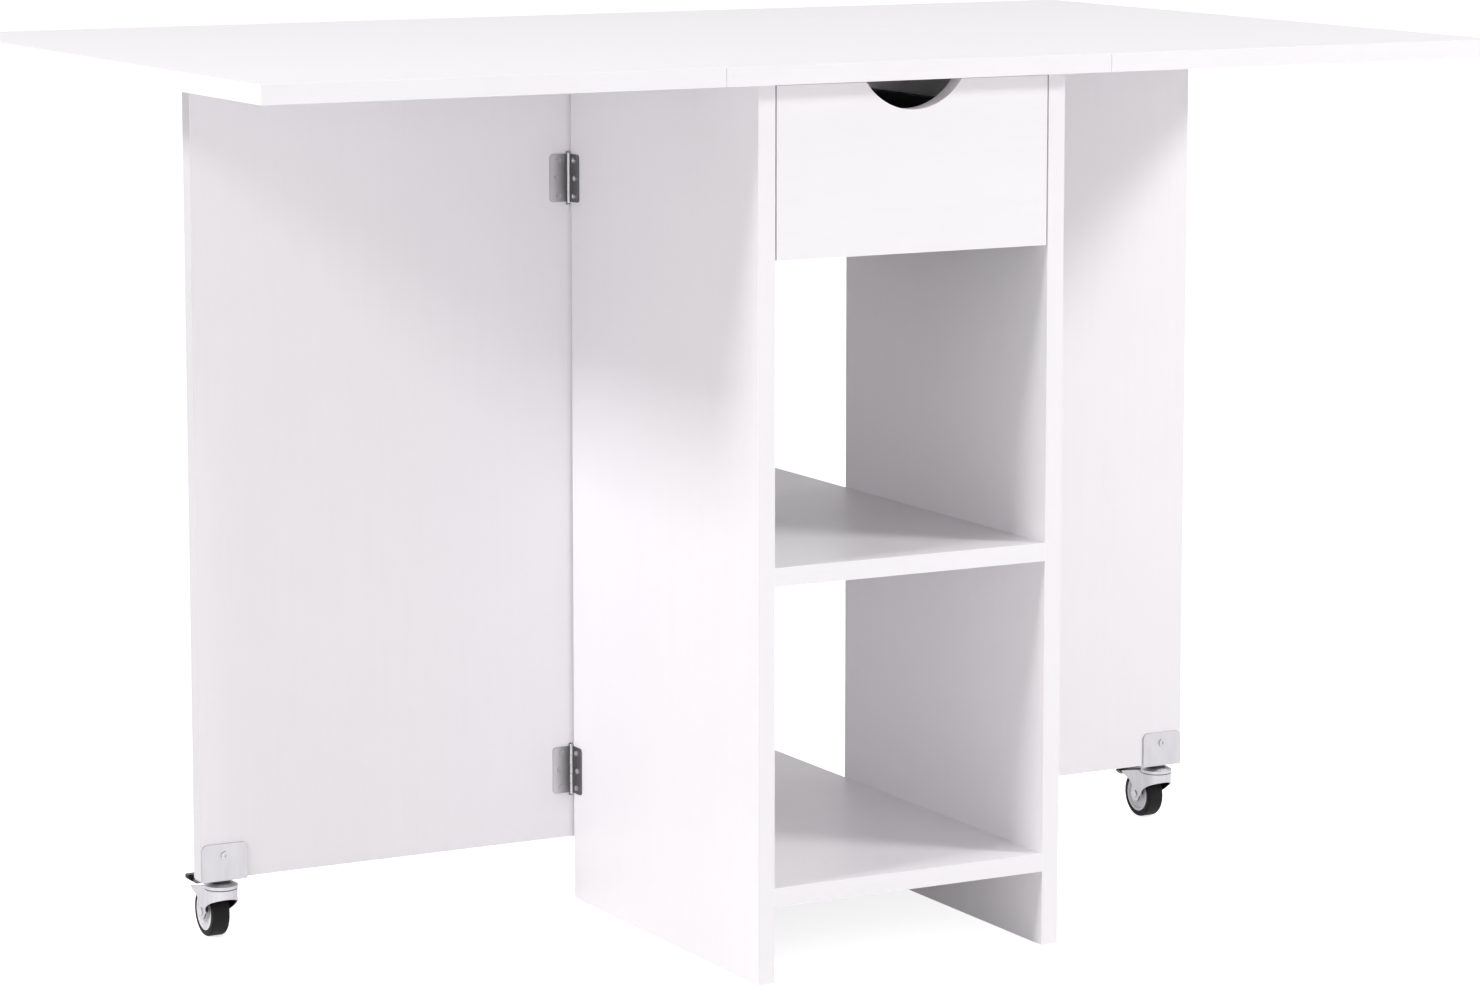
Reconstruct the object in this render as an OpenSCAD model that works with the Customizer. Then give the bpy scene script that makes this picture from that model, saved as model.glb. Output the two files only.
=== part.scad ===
// Drop-leaf kitchen cart: a narrow shelf carcass with an inset drawer, under a three-board top.
// A hinged gate stands out at each side on a small caster and carries a leaf of the top.
// The gates fold back against the carcass. Millimetres, +Z up, front towards -Y.
// The origin lies on the floor under the centre of the top. Shapes are drawn at the right side.

/* [Table top] */
// Width of the whole top with both leaves up
top_w = 1120; // [1020:1:1300]
// Depth of the top from front to rear
top_d = 700; // [660:1:860]
// Height of the top's surface above the floor
top_h = 730; // [690:1:950]
// Width of the fixed centre board
centre_w = 350; // [330:1:420]
// Thickness of every main board
board_t = 15; // [15:0.5:19]
// Seam between the centre board and a leaf
seam_gap = 0.4; // [0.2:0.1:2]

/* [Carcass] */
// Width of the carcass over its two side panels
carcass_w = 280; // [250:1:310]
// Reach of the top past the carcass at the front and at the rear
overhang = 14; // [5:1:40]
// Gap between a side panel's rear edge and the plane of the gate's front face
panel_gap = 3; // [2.8:0.1:8]
// Height of the bottom shelf's underside above the floor
shelf_low_z = 62; // [58:1:120]
// Height of the middle shelf's underside above the floor
shelf_mid_z = 319.5; // [220:0.5:420]

/* [Drawer] */
// Height of the drawer front
drawer_front_h = 136.5; // [120:0.5:160]
// Gap between the drawer front and the boards round it
drawer_gap = 1.5; // [1:0.1:3]
// Width of the finger cut at the top edge of the drawer front
cut_w = 87; // [60:1:120]
// Depth of the finger cut
cut_d = 23; // [15:1:28]
// Length of the drawer box behind its front
box_d = 290; // [230:1:295]
// Height of the drawer box
box_h = 100; // [90:1:105]
// Thickness of the drawer box's sides and back
box_t = 12; // [11:0.5:15]
// Thickness of the drawer bottom
bottom_t = 3; // [2.5:0.1:5]
// Height of the runners
runner_h = 17; // [12:0.5:20]
// Thickness of the runners
runner_t = 8; // [6:0.5:9]

/* [Gates] */
// Width of a gate
gate_w = 341; // [300:1:345]
// Height of a gate's lower edge above the floor
gate_low_z = 53.5; // [53.5:0.5:55]
// Gap between a gate's upper edge and the leaf that it carries
gate_top_gap = 1.2; // [1.2:0.1:6]
// Distance from a side panel's outer face out to the hinge axis
axis_out = 1; // [0.8:0.1:1.2]
// Length of board between the hinge axis and the gate's hinge edge
gate_inset = 2.5; // [2.3:0.1:2.6]

/* [Gate hinges] */
// Height of a gate hinge
hinge_h = 40; // [36:1:60]
// Reach of a hinge leaf from the pin's axis
hinge_leaf_w = 18; // [16:0.5:30]
// Thickness of the hinge leaves
hinge_t = 1.2; // [0.8:0.1:1.6]
// Radius of the hinge knuckles
knuckle_r = 2.25; // [2:0.05:2.4]
// Radius of the hinge pins
pin_r = 1; // [0.8:0.05:1.3]
// Height of the lower hinges' centre above the gate's lower edge
hinge_low = 58.5; // [40:0.5:120]
// Distance of the upper hinges' centre below the top's underside
hinge_drop = 98.5; // [50:0.5:160]

/* [Leaf hinges] */
// Length of a leaf hinge along the seam
flap_l = 50; // [40:1:70]
// Reach of a leaf hinge's plates from the seam
flap_w = 24; // [20:1:30]
// Distance of the leaf hinges from the middle of the top
flap_y = 220; // [150:1:280]
// Radius of the leaf hinges' knuckles
flap_r = 1.5; // [1.4:0.05:1.6]

/* [Casters] */
// Radius of a caster wheel
wheel_r = 21; // [20:0.5:21]
// Width of a caster wheel
wheel_w = 15.5; // [13:0.5:15.5]
// Distance of the axle behind the swivel axis
trail = 20; // [19:0.1:20.5]
// Radius of the fork's round head
head_r = 14; // [13.8:0.1:14.4]
// Width of the bracket that holds a caster
bracket_w = 40; // [34:1:50]
// Depth of the bracket's bottom plate
bracket_d = 16.5; // [15:0.5:26]
// Height of the bracket's front plate above the gate's lower edge
bracket_h = 29.5; // [24:0.5:50]
// Thickness of the bracket's sheet
bracket_t = 1.5; // [1.2:0.1:1.8]
// Slope of a brake pedal that is pressed down
pedal_down = 12; // [12:0.5:13]
// Angle between a pressed and a lifted brake pedal
pedal_swing = 10; // [6:0.5:11]
// Length of the brake pedal behind its pin
pedal_l = 39; // [36:0.5:42]
// Width of the brake pedal's pad
pad_w = 24; // [21:0.5:26]
// Width of the brake pedal's neck
neck_w = 15; // [12:0.5:15.5]

/* [Hidden] */
$fn = 64;

// Clearances
fit = 0.02;
hole_gap = 0.05;
run_gap = 0.06;
past = 1;

// Places that the driving sizes give
under_z = top_h - board_t;
outer_x = carcass_w / 2;
inner_x = outer_x - board_t;
front_y = overhang - top_d / 2;
rear_y = top_d / 2 - overhang;
back_y = rear_y - board_t;
gate_y = -board_t / 2;
panel_rear_y = gate_y - panel_gap;
axis_x = outer_x + axis_out;
seam_x = centre_w / 2;
flap_x = seam_x + seam_gap / 2;

// Gate
gate_near_x = axis_x - gate_inset;
gate_far_x = gate_near_x + gate_w;
gate_top_z = under_z - gate_top_gap;
hinge_low_z = gate_low_z + hinge_low;
hinge_high_z = under_z - hinge_drop;
knuckles = 5;
knuckle_gap = 0.2;
knuckle_clear = 0.3;
leaf_corner_r = 3;
notch = knuckle_r + 0.45;

// Screws: the hinge leaves' holes are [distance from the pin, height from the middle]
screw_r = 1.6;
screw_l = 12;
pan_r = 2.3;
pan_h = 0.9;
recess_w = 0.7;
recess_d = 0.5;
gate_holes = [[10, hinge_h / 2 - 5], [12, 0], [10, 5 - hinge_h / 2]];
flap_holes = [[flap_w - 8, flap_l / 2 - 9], [flap_w - 8, 9 - flap_l / 2]];
flap_t = 1.2;
flap_pin_r = 0.8;
flap_screw_l = 11;
sink_r = 2.9;
sink_h = 1.5;

// Cam fittings: the cam sits cam_set from the joint, with a bolt into the other board
cam_r = 7.5;
cam_h = 12;
cam_set = 34;
bolt_r = 3;
bolt_in = 10;
bolt_cam = 4;
dowel_r = 4;
dowel_in = 10;
dowel_out = 20;
joint_edge = 40;
dowel_edge = 85;
rear_joint_x = 70;
rear_dowel_x = 30;

// Drawer
front_top_z = under_z - drawer_gap;
front_low_z = front_top_z - drawer_front_h;
front_x = inner_x - drawer_gap;
box_y = front_y + board_t;
box_rear_y = box_y + box_d;
box_low_z = front_low_z + 8;
box_top_z = box_low_z + box_h;
box_in_x = front_x - box_t;
bottom_z = box_low_z + 10;
bottom_in = 5;
groove_gap = 0.1;
runner_z = box_low_z + 51.5;
runner_gap = 0.5;
runner_front_y = box_y + 3;
runner_rear_y = panel_rear_y - 20;
groove_d = runner_t - drawer_gap + runner_gap;
cut_r = (cut_w * cut_w / 4 + cut_d * cut_d) / (2 * cut_d);
box_cam_r = 6;
box_cam_h = 9.5;
box_cam_set = 24;
box_screw_r = 1.8;
box_screw_l = 32;

// Caster: places are [distance behind the swivel axis, height above the floor]
bracket_edge = 0.5;
bracket_corner_r = 5;
bracket_screw_z = gate_low_z + 19.5;
bracket_screw_head_r = 3.3;
caster_x = gate_far_x - bracket_edge - bracket_w / 2;
caster_y = gate_y + board_t / 2;
bracket_low_z = gate_low_z - bracket_t;
kingpin_r = 2.5;
kingpin_head_r = 4;
kingpin_head_h = 2;
rivet_r = 5;
rivet_h = 1.2;
cover_r = 8;
head_top_z = bracket_low_z - 2.5;
head_plate_t = 3;
band_h = 4.8;
shoulder_h = 2.2;
shoulder_top_r = 9.5;
groove_h = 0.8;
groove_in = 0.5;
skirt_r = head_r - 0.4;
sheet_t = 1.4;
leg_out = wheel_w / 2 + 2.25;
leg_in = leg_out - sheet_t;
bend_y = sqrt(skirt_r * skirt_r - leg_out * leg_out);
leg_top_z = head_top_z - 4;
axle_r = 2;
axle_head_r = 3.2;
axle_head_h = 0.9;
tip_r = 6.8;
ear_y = 42.6;
hub_r = wheel_r - 5;
hub_dish = 2;
hub_rim = 2;
hub_boss_r = 4.5;
shoulder_r = 2.5;
pedal_pin_y = 12;
pedal_pin_z = head_top_z - 6.2;
pedal_pin_r = 1;
pedal_boss_r = 1.9;
pedal_under = 1.1;
pedal_t = 2;
pad_l = 7;
pad_t = 3.6;
pad_end_t = 3;
pad_drop = 2.8;
neck_y = trail - pedal_pin_y;

// Colours
white = [0.96, 0.96, 0.97];
steel = [0.62, 0.62, 0.64];
zinc = [0.82, 0.82, 0.84];
rubber = [0.06, 0.06, 0.065];
black = [0.05, 0.05, 0.055];
hub_grey = [0.88, 0.88, 0.89];
beech = [0.80, 0.66, 0.46];

// Mirrors its children to the left side
module left_side() mirror([1, 0, 0]) children();

// Repeats its children at both sides
module both_sides() for (s = [0, 1]) mirror([s, 0, 0]) children();

// A box between two corners
module block(low, high) translate(low) cube(high - low);

// A rod between two points on one line along X, Y or Z, given as a start, a turn and a length
module rod(start, turn, r, l) translate(start) rotate(turn) cylinder(r = r, h = l);

// Cross recess in a screw head whose top lies at z = 0, cut downwards
module cross_recess() {
    for (a = [0, 90]) rotate([0, 0, a])
        translate([-1.6, -recess_w / 2, -recess_d]) cube([3.2, recess_w, recess_d + past]);
}

// Pan-head screw: the head sits on z = 0 and the shank goes down
module pan_screw(head_r, l) {
    difference() {
        union() {
            cylinder(r = head_r, h = pan_h);
            translate([0, 0, -l]) cylinder(r = screw_r, h = l + pan_h / 2);
        }
        translate([0, 0, pan_h]) cross_recess();
    }
}

// Countersunk screw: the head's flat lies at z = 0 and the shank goes down
module sunk_screw(r, l) {
    difference() {
        union() {
            translate([0, 0, -sink_h]) cylinder(r1 = r, r2 = sink_r, h = sink_h);
            translate([0, 0, -l]) cylinder(r = r, h = l);
        }
        cross_recess();
    }
}

// Hole for a countersunk screw, with its mouth at z = 0
module sunk_hole(r, l) {
    translate([0, 0, -sink_h]) cylinder(r1 = r + hole_gap, r2 = sink_r + hole_gap, h = sink_h);
    translate([0, 0, -l - hole_gap]) cylinder(r = r + hole_gap, h = l + hole_gap);
    cylinder(r = sink_r + hole_gap, h = past);
}

// Outline of a hinge leaf from its pin's axis, with its two outer corners rounded
module leaf_outline(width, height, r) {
    translate([0, -height / 2]) square([width - r, height]);
    translate([0, r - height / 2]) square([width, height - 2 * r]);
    for (s = [-1, 1]) translate([width - r, s * (height / 2 - r)]) circle(r = r);
}

// Hinge leaf with its pin along Z. The plate reaches along +X and its seat lies at y = seat.
module hinge_leaf(width, height, thick, kn_r, bore_r, seat, first, holes, hole_r) {
    seg = height / knuckles;
    difference() {
        union() {
            translate([0, seat, 0]) rotate([90, 0, 0])
                linear_extrude(thick) leaf_outline(width, height, leaf_corner_r);
            for (k = [first:2:knuckles - 1])
                translate([0, 0, k * seg - height / 2 + knuckle_gap / 2])
                    cylinder(r = kn_r, h = seg - knuckle_gap);
        }
        for (k = [1 - first:2:knuckles - 1])
            translate([0, 0, k * seg - height / 2 - knuckle_gap / 2])
                cylinder(r = kn_r + knuckle_clear, h = seg + knuckle_gap);
        translate([0, 0, -height / 2 - past]) cylinder(r = bore_r, h = height + 2 * past);
        for (p = holes)
            translate([p[0], seat + past, p[1]]) rotate([90, 0, 0]) cylinder(r = hole_r, h = thick + 2 * past);
    }
}

// Hinge pin with a domed cap at each end
module hinge_pin(height, r, cap_r) {
    translate([0, 0, -height / 2 - past / 2]) cylinder(r = r, h = height + past);
    for (s = [0, 1]) mirror([0, 0, s]) translate([0, 0, height / 2]) intersection() {
        sphere(r = cap_r);
        translate([-cap_r, -cap_r, 0]) cube([2 * cap_r, 2 * cap_r, cap_r]);
    }
}

// Turns its children from the hinge's own frame to the side panel's leaf at one hinge
module at_panel_leaf(z) translate([axis_x, gate_y, z]) rotate([0, 0, -90]) mirror([0, 1, 0]) children();

// Moves its children from the hinge's own frame to the gate's leaf at one hinge
module at_gate_leaf(z) translate([axis_x, gate_y, z]) children();

// Places children at a hinge leaf's screw heads, with +Z out of the plate
module at_leaf_screws(holes, face) for (p = holes) translate([p[0], face, p[1]]) rotate([90, 0, 0]) children();

// The four leaf hinges, each with its pin along Y at the seam's lower edge
module at_flaps() both_sides() for (y = [-flap_y, flap_y])
    translate([flap_x, y, under_z + flap_t / 2]) children();

// Cam fittings as [place of the joint, turn]: +X points into the board that takes the bolt
function shelf_side_joints(z, y) = [for (s = [0, 180]) [[(s == 0 ? 1 : -1) * inner_x, y, z], [0, 0, s]]];
function shelf_joints(z) = concat(
    shelf_side_joints(z, front_y + joint_edge),
    shelf_side_joints(z, panel_rear_y - joint_edge),
    [for (x = [-rear_joint_x, rear_joint_x]) [[x, back_y, z], [0, 0, 90]]]
);
function shelf_dowels(z) = concat(
    shelf_side_joints(z, front_y + dowel_edge),
    shelf_side_joints(z, panel_rear_y - dowel_edge),
    [for (x = [-rear_dowel_x, rear_dowel_x]) [[x, back_y, z], [0, 0, 90]]]
);
shelf_mid_c = shelf_mid_z + board_t / 2;
shelf_low_c = shelf_low_z + board_t / 2;
panel_c = outer_x - board_t / 2;
top_side_joints = [for (y = [front_y + joint_edge, panel_rear_y - joint_edge], s = [0, 180])
    [[(s == 0 ? -1 : 1) * panel_c, y, under_z], [0, -90, s]]];
top_back_joints = [for (x = [-rear_joint_x, rear_joint_x]) [[x, rear_y - board_t / 2, under_z], [0, -90, -90]]];
top_dowels = concat(
    [for (y = [front_y + dowel_edge, panel_rear_y - dowel_edge], s = [0, 180])
        [[(s == 0 ? -1 : 1) * panel_c, y, under_z], [0, -90, s]]],
    [for (x = [-rear_dowel_x, rear_dowel_x]) [[x, rear_y - board_t / 2, under_z], [0, -90, -90]]]
);
shelf_all_joints = concat(shelf_joints(shelf_mid_c), shelf_joints(shelf_low_c));
shelf_all_dowels = concat(shelf_dowels(shelf_mid_c), shelf_dowels(shelf_low_c));
top_joints = concat(top_side_joints, top_back_joints);

// Places its children at each joint of a list
module at_joints(list) for (j = list) translate(j[0]) rotate(j[1]) children();

// Bolt of a cam fitting, from inside the cam into the other board
module cam_bolt(set, grow) translate([bolt_cam - set, 0, 0]) rotate([0, 90, 0])
    cylinder(r = bolt_r + grow, h = set - bolt_cam + bolt_in + grow);

// Cam of a cam fitting in a board of the given thickness, or the pocket for it
module cam(r, h, set, thick, grow) translate([-set, 0, -thick / 2 - (grow > 0 ? past : 0)])
    cylinder(r = r + grow, h = h + grow + (grow > 0 ? past : 0));

// Cam with its bolt hole and its cross recess
module cam_piece(r, h, set, thick) difference() {
    cam(r, h, set, thick, 0);
    cam_bolt(set, hole_gap);
    translate([-set, 0, -thick / 2]) mirror([0, 0, 1]) cross_recess();
}

// What a cam fitting cuts from the two boards
module cam_cut(r, h, set, thick) {
    cam(r, h, set, thick, hole_gap);
    cam_bolt(set, hole_gap);
}

// Dowel across a joint
module dowel(grow) translate([-dowel_out - grow, 0, 0]) rotate([0, 90, 0])
    cylinder(r = dowel_r + grow, h = dowel_out + dowel_in + 2 * grow);

// Cuts every carcass fitting
module carcass_fitting_cuts() {
    at_joints(concat(shelf_all_joints, top_joints)) cam_cut(cam_r, cam_h, cam_set, board_t);
    at_joints(concat(shelf_all_dowels, top_dowels)) dowel(hole_gap);
}

// Places its children at the leaf hinges' screws, with +Z down
module at_flap_screws() at_flaps() for (s = [0, 1]) mirror([s, 0, 0]) for (p = flap_holes)
    translate([p[0], p[1], -flap_t / 2]) mirror([0, 0, 1]) children();

// Cuts the leaf hinges' seats, knuckle slots and screw holes
module flap_cuts() {
    at_flaps() {
        block(
            [-flap_w - hole_gap, -flap_l / 2 - hole_gap, -flap_t],
            [flap_w + hole_gap, flap_l / 2 + hole_gap, flap_t / 2]
        );
        rotate([90, 0, 0]) translate([0, 0, -flap_l / 2 - knuckle_clear])
            cylinder(r = flap_r + knuckle_clear, h = flap_l + 2 * knuckle_clear);
    }
    at_flap_screws() sunk_hole(screw_r, flap_screw_l);
}

module top_centre() color(white) difference() {
    block([-seam_x, -top_d / 2, under_z], [seam_x, top_d / 2, top_h]);
    flap_cuts();
    carcass_fitting_cuts();
}

module top_leaf() color(white) difference() {
    block([seam_x + seam_gap, -top_d / 2, under_z], [top_w / 2, top_d / 2, top_h]);
    flap_cuts();
}

module top_leaf_right() top_leaf();
module top_leaf_left() left_side() top_leaf();

// Screw places in the runner, along Y
runner_screw_y = [for (k = [0:2]) runner_front_y + 20 + k * (runner_rear_y - runner_front_y - 40) / 2];
runner_screw_l = 16;
module at_runner_screws() for (y = runner_screw_y)
    translate([inner_x - runner_t, y, runner_z]) rotate([0, -90, 0]) children();

// Side panel at the right, with the holes for its hinges, runner and fittings
module side_panel() color(white) difference() {
    block([inner_x, front_y, 0], [outer_x, panel_rear_y, under_z]);
    carcass_fitting_cuts();
    for (z = [hinge_low_z, hinge_high_z]) at_panel_leaf(z)
        at_leaf_screws(gate_holes, axis_out - hinge_t)
            translate([0, 0, -screw_l - hole_gap]) cylinder(r = screw_r + hole_gap, h = screw_l);
    at_runner_screws() sunk_hole(screw_r, runner_screw_l);
}

module side_panel_right() side_panel();
module side_panel_left() left_side() side_panel();

module back_panel() color(white) difference() {
    block([-inner_x, back_y, shelf_low_z], [inner_x, rear_y, under_z]);
    carcass_fitting_cuts();
}

// Shelf whose underside lies at z
module shelf(z) color(white) difference() {
    block([-inner_x, front_y, z], [inner_x, back_y, z + board_t]);
    carcass_fitting_cuts();
}

module shelf_middle() shelf(shelf_mid_z);
module shelf_bottom() shelf(shelf_low_z);

// Drawer runner at the right: a batten that the drawer side's groove slides on
module drawer_runner() color(white) difference() {
    block(
        [inner_x - runner_t, runner_front_y, runner_z - runner_h / 2],
        [inner_x, runner_rear_y, runner_z + runner_h / 2]
    );
    at_runner_screws() sunk_hole(screw_r, runner_screw_l);
}

module drawer_runner_right() drawer_runner();
module drawer_runner_left() left_side() drawer_runner();
module runner_screws() color(zinc) both_sides() at_runner_screws() sunk_screw(screw_r, runner_screw_l);

// Plate of a leaf hinge, let into the boards' undersides
module flap_plate(first, bore_r) rotate([90, 0, 0]) difference() {
    hinge_leaf(flap_w, flap_l, flap_t, flap_r, bore_r, flap_t / 2, first, [], screw_r);
    for (p = flap_holes) translate([p[0], -flap_t / 2, p[1]]) rotate([90, 0, 0]) sunk_hole(screw_r, flap_screw_l);
}

module leaf_hinge_fixed_plates() color(steel) at_flaps() mirror([1, 0, 0]) flap_plate(0, flap_pin_r + fit);
module leaf_hinge_leaf_plates() color(steel) at_flaps() flap_plate(1, flap_pin_r + run_gap);
module leaf_hinge_pins() color(steel) at_flaps() rotate([90, 0, 0])
    translate([0, 0, -flap_l / 2]) cylinder(r = flap_pin_r, h = flap_l);
module leaf_hinge_screws() color(steel) at_flap_screws() sunk_screw(screw_r, flap_screw_l);

module carcass_cams() color(zinc) at_joints(concat(shelf_all_joints, top_joints))
    cam_piece(cam_r, cam_h, cam_set, board_t);
module carcass_cam_bolts() color(zinc) at_joints(concat(shelf_all_joints, top_joints)) cam_bolt(cam_set, 0);
module carcass_dowels() color(beech) at_joints(concat(shelf_all_dowels, top_dowels)) dowel(0);

// Leaves, pins and screws of the gate hinges
module panel_leaf(z) color(steel) at_panel_leaf(z)
    hinge_leaf(hinge_leaf_w, hinge_h, hinge_t, knuckle_r, pin_r + fit, axis_out, 0, gate_holes, screw_r + hole_gap);
module gate_leaf(z) color(steel) at_gate_leaf(z)
    hinge_leaf(hinge_leaf_w, hinge_h, hinge_t, knuckle_r, pin_r + run_gap, 0, 1, gate_holes, screw_r + hole_gap);
module gate_hinge_pins() color(steel) for (z = [hinge_low_z, hinge_high_z])
    translate([axis_x, gate_y, z]) hinge_pin(hinge_h, pin_r, knuckle_r);
module panel_hinge_screws() color(steel) for (z = [hinge_low_z, hinge_high_z])
    at_panel_leaf(z) at_leaf_screws(gate_holes, axis_out - hinge_t) pan_screw(pan_r, screw_l);

module hinge_upper_right_panel_leaf() panel_leaf(hinge_high_z);
module hinge_lower_right_panel_leaf() panel_leaf(hinge_low_z);
module hinge_upper_left_panel_leaf() left_side() panel_leaf(hinge_high_z);
module hinge_lower_left_panel_leaf() left_side() panel_leaf(hinge_low_z);
module hinge_upper_right_gate_leaf() gate_leaf(hinge_high_z);
module hinge_lower_right_gate_leaf() gate_leaf(hinge_low_z);
module hinge_upper_left_gate_leaf() left_side() gate_leaf(hinge_high_z);
module hinge_lower_left_gate_leaf() left_side() gate_leaf(hinge_low_z);
module gate_hinge_pins_right() gate_hinge_pins();
module gate_hinge_pins_left() left_side() gate_hinge_pins();
module panel_hinge_screws_right() panel_hinge_screws();
module panel_hinge_screws_left() left_side() panel_hinge_screws();

// Joint of the right drawer side with the drawer front: +X points into the front
module at_box_joint() translate([front_x - box_t / 2, box_y, box_top_z - 30]) rotate([-90, 0, -90]) children();

// Screws through the right drawer side into the drawer back, with +Z out of the side
module at_box_screws() for (z = [bottom_z + 16, box_top_z - 10])
    translate([front_x, box_rear_y - box_t / 2, z]) rotate([0, 90, 0]) children();

// Screws through the drawer bottom into the drawer back, with +Z down
module at_bottom_screws() for (x = [-box_in_x / 2, box_in_x / 2])
    translate([x, box_rear_y - box_t / 2, bottom_z]) rotate([180, 0, 0]) children();

// Space that the drawer bottom takes, or the grooves for it
module bottom_space(grow) block(
    [-box_in_x - bottom_in - grow, box_y - bottom_in - grow, bottom_z - grow],
    [box_in_x + bottom_in + grow, box_rear_y, bottom_z + bottom_t + grow]
);

module drawer_front() color(white) difference() {
    block([-front_x, front_y, front_low_z], [front_x, box_y, front_top_z]);
    rod([0, front_y - past, front_top_z - cut_d + cut_r], [-90, 0, 0], cut_r, board_t + 2 * past);
    bottom_space(groove_gap);
    both_sides() at_box_joint() cam_bolt(box_cam_set, hole_gap);
}

module drawer_side() color(white) difference() {
    block([box_in_x, box_y, box_low_z], [front_x, box_rear_y, box_top_z]);
    block(
        [front_x - groove_d, runner_front_y - 1, runner_z - runner_h / 2 - runner_gap],
        [front_x + past, box_rear_y + past, runner_z + runner_h / 2 + runner_gap]
    );
    bottom_space(groove_gap);
    at_box_joint() cam_cut(box_cam_r, box_cam_h, box_cam_set, box_t);
    at_box_screws() sunk_hole(box_screw_r, box_screw_l);
}

module drawer_side_right() drawer_side();
module drawer_side_left() left_side() drawer_side();

module drawer_back() color(white) difference() {
    block([-box_in_x, box_rear_y - box_t, bottom_z + bottom_t], [box_in_x, box_rear_y, box_top_z]);
    both_sides() at_box_screws() sunk_hole(box_screw_r, box_screw_l);
    at_bottom_screws() sunk_hole(screw_r, screw_l);
}

module drawer_bottom() color(white) difference() {
    bottom_space(0);
    at_bottom_screws() sunk_hole(screw_r, screw_l);
}

module drawer_cams() color(zinc) both_sides() at_box_joint() cam_piece(box_cam_r, box_cam_h, box_cam_set, box_t);
module drawer_cam_bolts() color(zinc) both_sides() at_box_joint() cam_bolt(box_cam_set, 0);
module drawer_screws() color(zinc) {
    both_sides() at_box_screws() sunk_screw(box_screw_r, box_screw_l);
    at_bottom_screws() sunk_screw(screw_r, screw_l);
}

// Bracket screw, with +Z out of the bracket's front plate
module at_bracket_screw() translate([caster_x, gate_y - bracket_t, bracket_screw_z]) rotate([90, 0, 0]) children();

module gate_board() color(white) difference() {
    block([gate_near_x, gate_y, gate_low_z], [gate_far_x, gate_y + board_t, gate_top_z]);
    for (z = [hinge_low_z, hinge_high_z]) {
        block(
            [gate_near_x - past, gate_y - past, z - hinge_h / 2 - notch],
            [axis_x + notch, gate_y + notch, z + hinge_h / 2 + notch]
        );
        at_gate_leaf(z) at_leaf_screws(gate_holes, -hinge_t)
            translate([0, 0, -screw_l - hole_gap]) cylinder(r = screw_r + hole_gap, h = screw_l);
    }
    translate([caster_x, caster_y, gate_low_z - past])
        cylinder(r = kingpin_head_r + 0.2, h = kingpin_head_h + 0.2 + past);
    at_bracket_screw() translate([0, 0, -screw_l - hole_gap]) cylinder(r = screw_r + hole_gap, h = screw_l);
}

module gate_right() gate_board();
module gate_left() left_side() gate_board();

module gate_screws() color(steel) {
    for (z = [hinge_low_z, hinge_high_z]) at_gate_leaf(z) at_leaf_screws(gate_holes, -hinge_t)
        pan_screw(pan_r, screw_l);
    at_bracket_screw() pan_screw(bracket_screw_head_r, screw_l);
}

module gate_screws_right() gate_screws();
module gate_screws_left() left_side() gate_screws();

// Front plate of the caster bracket: x from the middle, y up from its lower edge
module bracket_outline() {
    r = bracket_corner_r;
    h = bracket_h + bracket_t;
    translate([-bracket_w / 2, 0]) square([bracket_w, h - r]);
    translate([r - bracket_w / 2, 0]) square([bracket_w - 2 * r, h]);
    for (s = [-1, 1]) translate([s * (bracket_w / 2 - r), h - r]) circle(r = r);
}

module caster_bracket() color(zinc) difference() {
    union() {
        translate([caster_x, gate_y, bracket_low_z]) rotate([90, 0, 0]) linear_extrude(bracket_t) bracket_outline();
        block(
            [caster_x - bracket_w / 2, gate_y - bracket_t, bracket_low_z],
            [caster_x + bracket_w / 2, gate_y - bracket_t + bracket_d, gate_low_z]
        );
    }
    rod([caster_x, caster_y, bracket_low_z - past], [0, 0, 0], kingpin_r + fit, bracket_t + 2 * past);
    at_bracket_screw() translate([0, 0, -bracket_t - past])
        cylinder(r = screw_r + hole_gap, h = bracket_t + 2 * past);
}

module caster_bracket_right() caster_bracket();
module caster_bracket_left() left_side() caster_bracket();

// Moves its children from the caster's own frame to the right caster
module at_caster() translate([caster_x, caster_y, 0]) children();

module kingpin() color(zinc) at_caster() {
    rivet_top = head_top_z - head_plate_t - run_gap;
    translate([0, 0, gate_low_z]) cylinder(r = kingpin_head_r, h = kingpin_head_h);
    translate([0, 0, rivet_top]) cylinder(r = kingpin_r, h = gate_low_z - rivet_top);
    translate([0, 0, rivet_top - rivet_h]) cylinder(r = rivet_r, h = rivet_h);
}

module kingpin_right() kingpin();
module kingpin_left() left_side() kingpin();

// Round nylon cover that turns with the fork under the bracket
module swivel_cover() color(black) at_caster() difference() {
    translate([0, 0, head_top_z]) cylinder(r = cover_r, h = bracket_low_z - head_top_z - 0.15);
    translate([0, 0, head_top_z - past]) cylinder(r = kingpin_r + 0.2, h = 5);
}

module swivel_cover_right() swivel_cover();
module swivel_cover_left() left_side() swivel_cover();

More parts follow.
